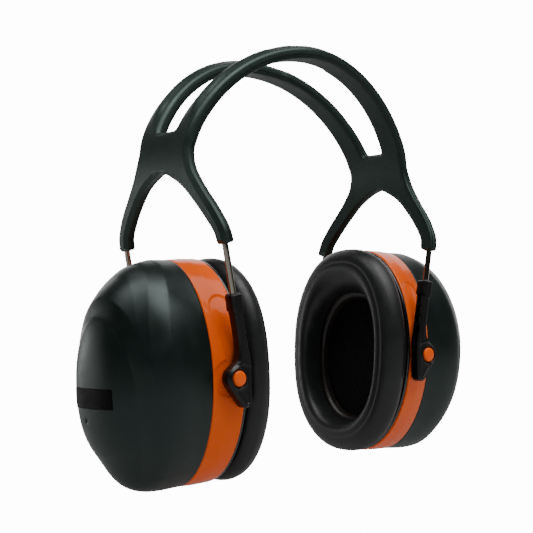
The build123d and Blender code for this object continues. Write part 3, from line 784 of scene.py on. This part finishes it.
def arm_points(side, end, points):
    """World points in metres of arm coordinates (xi, y, zeta)."""
    p = np.asarray(points, float)
    pivot = JOINTS[side + "_tilt"]["pos_m"]
    foot = abs(pivot[0]) - (PIVOT_XI * cos(WIRE_LEAN) + PIVOT_ZETA * sin(WIRE_LEAN)) * MM
    x = foot + (p[:, 0] * cos(WIRE_LEAN) + p[:, 2] * sin(WIRE_LEAN)) * MM
    lift = PIVOT_XI * sin(WIRE_LEAN) - PIVOT_ZETA * cos(WIRE_LEAN)
    z = pivot[2] + (p[:, 2] * cos(WIRE_LEAN) - p[:, 0] * sin(WIRE_LEAN) + lift) * MM
    return np.stack([x * (-1 if side == "left" else 1), p[:, 1] * MM * (-1 if end == "front" else 1), z], 1)


def arms():
    points, faces = arm_body()
    channel = box_mesh(-6, CHANNEL_DEPTH, WIRE_Y - CHANNEL_HALF, WIRE_Y + CHANNEL_HALF,
                       CHANNEL_FLOOR, COLLAR_FOOT)
    bore = rod_mesh((0, WIRE_Y, 0), 2, 1.6, COLLAR_FOOT - 1, ARM_TOP + 1)
    eye = rod_mesh((PIVOT_XI, 0, PIVOT_ZETA), 1, 2.68, ARM_INNER_Y - 1, 43)
    mesh = cut(plain_mesh("arm_blank", points, faces), (channel, bore, eye))
    vertices = [tuple(v.co) for v in mesh.vertices]
    faces = [tuple(f.vertices) for f in mesh.polygons]
    for k in range(1, 6):
        z = COLLAR_FOOT - CROSSBAR_PITCH * k
        bar, sides = box_mesh(-SHAFT_HALF - 0.05, -1.75, WIRE_Y - 1.9, WIRE_Y + 1.9, z - 0.45, z + 0.45)
        faces += [tuple(v + len(vertices) for v in f) for f in sides]
        vertices += bar
    for side in SIDES:
        for end in ("front", "rear"):
            name = f"{side}_{end}_arm"
            new_object(name + "_looks", arm_points(side, end, vertices), faces, side + "_slider",
                       (name,), 28)


arms()


# ---- materials ---------------------------------------------------------------------------------------
def colour(red, green, blue):
    """Linear colour of an sRGB one."""
    return tuple((c / 255 / 12.92) if c <= 10 else ((c / 255 + 0.055) / 1.055) ** 2.4
                 for c in (red, green, blue)) + (1.0,)


class Surface:
    """A node material on object coordinates: colour and roughness vary slowly, and the bump is fine."""

    def __init__(self, name, roughness, metallic=0.0, specular=0.5, coat=0.0, coat_roughness=0.1):
        self.material = bpy.data.materials.new(name)
        self.material.use_nodes = True
        self.tree = self.material.node_tree
        self.shader = next(n for n in self.tree.nodes if n.type == "BSDF_PRINCIPLED")
        self.shader.inputs["Roughness"].default_value = roughness
        self.shader.inputs["Metallic"].default_value = metallic
        self.shader.inputs["Specular IOR Level"].default_value = specular
        self.shader.inputs["Coat Weight"].default_value = coat
        self.shader.inputs["Coat Roughness"].default_value = coat_roughness
        self.coordinates = self.node("ShaderNodeTexCoord").outputs["Object"]
        self.bumps = None

    def node(self, kind, **settings):
        node = self.tree.nodes.new(kind)
        for key, value in settings.items():
            setattr(node, key, value)
        return node

    def link(self, source, target):
        self.tree.links.new(source, target)

    def noise(self, size, detail=3.0, roughness=0.55, stretch=(1, 1, 1)):
        """Noise with features about size mm across."""
        mapping = self.node("ShaderNodeMapping")
        self.link(self.coordinates, mapping.inputs["Vector"])
        mapping.inputs["Scale"].default_value = stretch
        noise = self.node("ShaderNodeTexNoise")
        self.link(mapping.outputs["Vector"], noise.inputs["Vector"])
        noise.inputs["Scale"].default_value = 1 / (size * MM)
        noise.inputs["Detail"].default_value = detail
        noise.inputs["Roughness"].default_value = roughness
        return noise.outputs["Fac"]

    def cells(self, size, feature="F1"):
        voronoi = self.node("ShaderNodeTexVoronoi", feature=feature)
        self.link(self.coordinates, voronoi.inputs["Vector"])
        voronoi.inputs["Scale"].default_value = 1 / (size * MM)
        return voronoi.outputs["Distance"]

    def spread(self, source, low, high, start=0.3, end=0.7):
        """source from start to end, as low to high."""
        span = self.node("ShaderNodeMapRange")
        self.link(source, span.inputs["Value"])
        for socket, value in zip(("From Min", "From Max", "To Min", "To Max"), (start, end, low, high)):
            span.inputs[socket].default_value = value
        return span.outputs["Result"]

    def tint(self, source, *stops):
        """Base colour from a ramp of (position, sRGB)."""
        ramp = self.node("ShaderNodeValToRGB")
        while len(ramp.color_ramp.elements) < len(stops):
            ramp.color_ramp.elements.new(0.5)
        for element, (position, rgb) in zip(ramp.color_ramp.elements, stops):
            element.position = position
            element.color = colour(*rgb)
        self.link(source, ramp.inputs["Fac"])
        self.link(ramp.outputs["Color"], self.shader.inputs["Base Color"])
        return ramp

    def roughness(self, source):
        self.link(source, self.shader.inputs["Roughness"])

    def bump(self, source, depth, strength=1.0):
        """Adds relief of depth mm."""
        node = self.node("ShaderNodeBump")
        node.inputs["Distance"].default_value = depth * MM
        node.inputs["Strength"].default_value = strength
        self.link(source, node.inputs["Height"])
        if self.bumps:
            self.link(self.bumps, node.inputs["Normal"])
        self.bumps = node.outputs["Normal"]
        self.link(self.bumps, self.shader.inputs["Normal"])


def moulded(name, dark, light, roughness, grain, specular=0.5, coat=0.0, sheen=(1, 1, 1)):
    """Satin moulded plastic: slight clouding, fine spark-eroded grain and a few rubbed patches."""
    surface = Surface(name, roughness, specular=specular, coat=coat, coat_roughness=0.25)
    surface.shader.inputs["Specular Tint"].default_value = (*sheen, 1)
    clouds = surface.noise(26, 4)
    surface.tint(clouds, (0.25, dark), (0.75, light))
    surface.roughness(surface.spread(surface.noise(9, 5), roughness - 0.05, roughness + 0.06))
    surface.bump(surface.noise(3.5, 2), 0.012, 0.5)
    surface.bump(surface.noise(0.32, 3), grain)
    return surface.material


def glossy_orange():
    surface = Surface("orange_gloss", 0.24, specular=0.14, coat=0.2, coat_roughness=0.04)
    surface.tint(surface.noise(30, 3), (0.3, (252, 92, 3)), (0.7, (255, 101, 7)))
    surface.roughness(surface.spread(surface.noise(6, 4), 0.17, 0.27))
    surface.bump(surface.noise(7, 2), 0.02, 0.5)
    return surface.material


def spring_steel():
    surface = Surface("drawn_steel", 0.1, metallic=1.0)
    lines = surface.noise(0.5, 3, stretch=(4, 4, 0.12))
    surface.tint(lines, (0.3, (140, 134, 124)), (0.7, (172, 165, 152)))
    surface.roughness(surface.spread(lines, 0.07, 0.14))
    surface.bump(lines, 0.0008)
    return surface.material


def leatherette():
    surface = Surface("leatherette", 0.42, specular=0.42, coat=0.0)
    surface.tint(surface.noise(14, 4), (0.3, (20, 21, 22)), (0.7, (27, 28, 29)))
    surface.roughness(surface.spread(surface.noise(5, 4), 0.36, 0.47))
    surface.bump(surface.cells(0.9), 0.03, 0.6)
    surface.bump(surface.noise(0.35, 3), 0.012)
    surface.bump(surface.noise(6, 3), 0.05, 0.4)
    return surface.material


def open_foam():
    surface = Surface("open_foam", 0.95, specular=0.15)
    pores = surface.cells(0.8)
    surface.tint(pores, (0.15, (6, 6, 6)), (0.6, (19, 19, 20)))
    surface.roughness(surface.spread(surface.noise(4, 3), 0.88, 1.0))
    surface.bump(pores, 0.3)
    surface.bump(surface.noise(0.5, 4), 0.12)
    return surface.material


GREEN_SHEEN = (0.72, 1.0, 0.9)
SHELL_SHEEN = (0.8, 1.0, 0.96)
PLASTICS = {
    "band_green": moulded("band_green", (24, 34, 29), (29, 40, 35), 0.42, 0.012, 0.5, sheen=GREEN_SHEEN),
    "liner_green": moulded("liner_green", (17, 26, 22), (22, 32, 27), 0.45, 0.014, 0.35, sheen=GREEN_SHEEN),
    "shell_green": moulded("shell_green", (12, 19, 17), (16, 24, 22), 0.36, 0.008, 0.42, sheen=SHELL_SHEEN),
    "arm_black": moulded("arm_black", (8, 9, 9), (12, 13, 13), 0.38, 0.01, 0.36),
    "flange_black": moulded("flange_black", (8, 9, 9), (13, 14, 14), 0.16, 0.003, coat=0.4),
    "sleeve_black": moulded("sleeve_black", (24, 17, 14), (36, 26, 22), 0.4, 0.01),
    "backing_black": moulded("backing_black", (10, 11, 11), (15, 16, 16), 0.5, 0.01),
    "label_black": moulded("label_black", (4, 4, 5), (7, 7, 8), 0.5, 0.004, 0.08),
}
ORANGE, STEEL, LEATHER, FOAM = glossy_orange(), spring_steel(), leatherette(), open_foam()
MATERIALS = [("headband_cover", PLASTICS["band_green"]), ("headband_liner", PLASTICS["liner_green"]),
             ("_dome", PLASTICS["shell_green"]), ("cup_shell", PLASTICS["shell_green"]),
             ("label", PLASTICS["label_black"]), ("_ring", ORANGE), ("button", ORANGE),
             ("pivot_stud", ORANGE),
             ("_arm", PLASTICS["arm_black"]), ("seal_", PLASTICS["flange_black"]),
             ("backing", PLASTICS["backing_black"]), ("sleeve", PLASTICS["sleeve_black"]),
             ("gasket", PLASTICS["sleeve_black"]), ("spring_wire", STEEL), ("cushion_foam", FOAM),
             ("foam", FOAM), ("cushion", LEATHER)]


def paint(obj):
    material = next(m for part, m in MATERIALS if part in obj.name)
    if obj.data.materials:
        for k in range(len(obj.data.materials)):
            obj.data.materials[k] = material
            if k < len(obj.material_slots):
                obj.material_slots[k].material = material
    else:
        obj.data.materials.append(material)


for obj in list(frame["nodes"].values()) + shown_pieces():
    paint(obj)


# ---- floor, light and camera -------------------------------------------------------------------------
BACKDROP = 14.0                          # brightness of the white background as the camera sees it
SURROUNDINGS = 0.035                     # and as it lights the object
FLOOR_GLOW = 0.2                         # light that the pale floor gives back to the object
FLOOR_REACH, FLOOR_GAP = 6.0, 0.012      # half its width, and how far it lies below the object
# name, azimuth and elevation in degrees, distance in metres, (width, height), power in watts
LIGHTS = [("top", -60, 70, 0.9, (1.1, 0.5), 7),
          ("low_left", -138, -17, 1.0, (0.4, 0.3), 1.8),
          ("left", -135, 8, 1.0, (0.4, 0.45), 0.32),
          ("rim", -157, 0, 1.0, (0.3, 0.35), 1.1),
          ("right", 85, 6, 1.0, (0.3, 0.6), 0.5),
          ("front", 18, 60, 1.0, (0.9, 0.9), 8),
          ("back", 140, 20, 1.1, (1.8, 0.9), 8)]


def camera_axes(azimuth, elevation, roll):
    back = Vector((sin(azimuth) * cos(elevation), -cos(azimuth) * cos(elevation), sin(elevation)))
    right = Vector((0, 0, 1)).cross(back).normalized()
    up = back.cross(right)
    return right * cos(roll) + up * sin(roll), up * cos(roll) - right * sin(roll), back


def add_camera():
    right, up, back = camera_axes(CAMERA_AZIMUTH, CAMERA_ELEVATION, CAMERA_ROLL)
    camera = bpy.data.objects.new("camera", bpy.data.cameras.new("camera"))
    camera.data.lens = CAMERA_LENS
    camera.data.sensor_width = 36.0
    camera.data.clip_start = 0.01
    place = CAMERA_TARGET + back * CAMERA_DISTANCE
    camera.matrix_world = Matrix((right, up, back)).transposed().to_4x4()
    camera.matrix_world.translation = place
    bpy.context.scene.collection.objects.link(camera)
    bpy.context.scene.camera = camera


def add_floor():
    """A wide pale sweep, well below the cups, so that the object stands clear of its shadow."""
    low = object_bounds()[0][2] - FLOOR_GAP
    mesh = bpy.data.meshes.new("floor")
    corners = [(x * FLOOR_REACH, y * FLOOR_REACH, low) for x, y in ((-1, -1), (1, -1), (1, 1), (-1, 1))]
    mesh.from_pydata(corners, [], [(0, 1, 2, 3)])
    floor = bpy.data.objects.new("floor", mesh)
    bpy.context.scene.collection.objects.link(floor)
    surface = Surface("floor_white", 0.9, specular=0.1)
    surface.tint(surface.noise(400, 2), (0.3, (158, 158, 158)), (0.7, (168, 168, 168)))
    seen = surface.node("ShaderNodeLightPath").outputs["Is Camera Ray"]
    glow = surface.spread(seen, FLOOR_GLOW, BACKDROP, 0.0, 1.0)
    surface.link(glow, surface.shader.inputs["Emission Strength"])
    surface.shader.inputs["Emission Color"].default_value = (1, 1, 1, 1)
    mesh.materials.append(surface.material)


def add_light(name, azimuth, elevation, distance, size, power):
    """Soft box of size (width, height) aimed at the middle of the object."""
    lamp = bpy.data.lights.new(name, "AREA")
    lamp.shape = "RECTANGLE"
    lamp.size, lamp.size_y = size
    lamp.energy = power
    light = bpy.data.objects.new(name, lamp)
    back = camera_axes(radians(azimuth), radians(elevation), 0)[2]
    light.location = CAMERA_TARGET + back * distance
    light.rotation_euler = back.to_track_quat("Z", "Y").to_euler()
    light.visible_camera = False
    bpy.context.scene.collection.objects.link(light)


def add_world():
    world = bpy.data.worlds.new("surroundings")
    world.use_nodes = True
    background = next(n for n in world.node_tree.nodes if n.type == "BACKGROUND")
    background.inputs["Color"].default_value = (1, 1, 1, 1)
    path = world.node_tree.nodes.new("ShaderNodeLightPath")
    span = world.node_tree.nodes.new("ShaderNodeMapRange")
    span.inputs["To Min"].default_value = SURROUNDINGS
    span.inputs["To Max"].default_value = BACKDROP
    world.node_tree.links.new(path.outputs["Is Camera Ray"], span.inputs["Value"])
    world.node_tree.links.new(span.outputs["Result"], background.inputs["Strength"])
    bpy.context.scene.world = world


add_camera()
add_floor()
add_world()
for light in LIGHTS:
    add_light(*light)
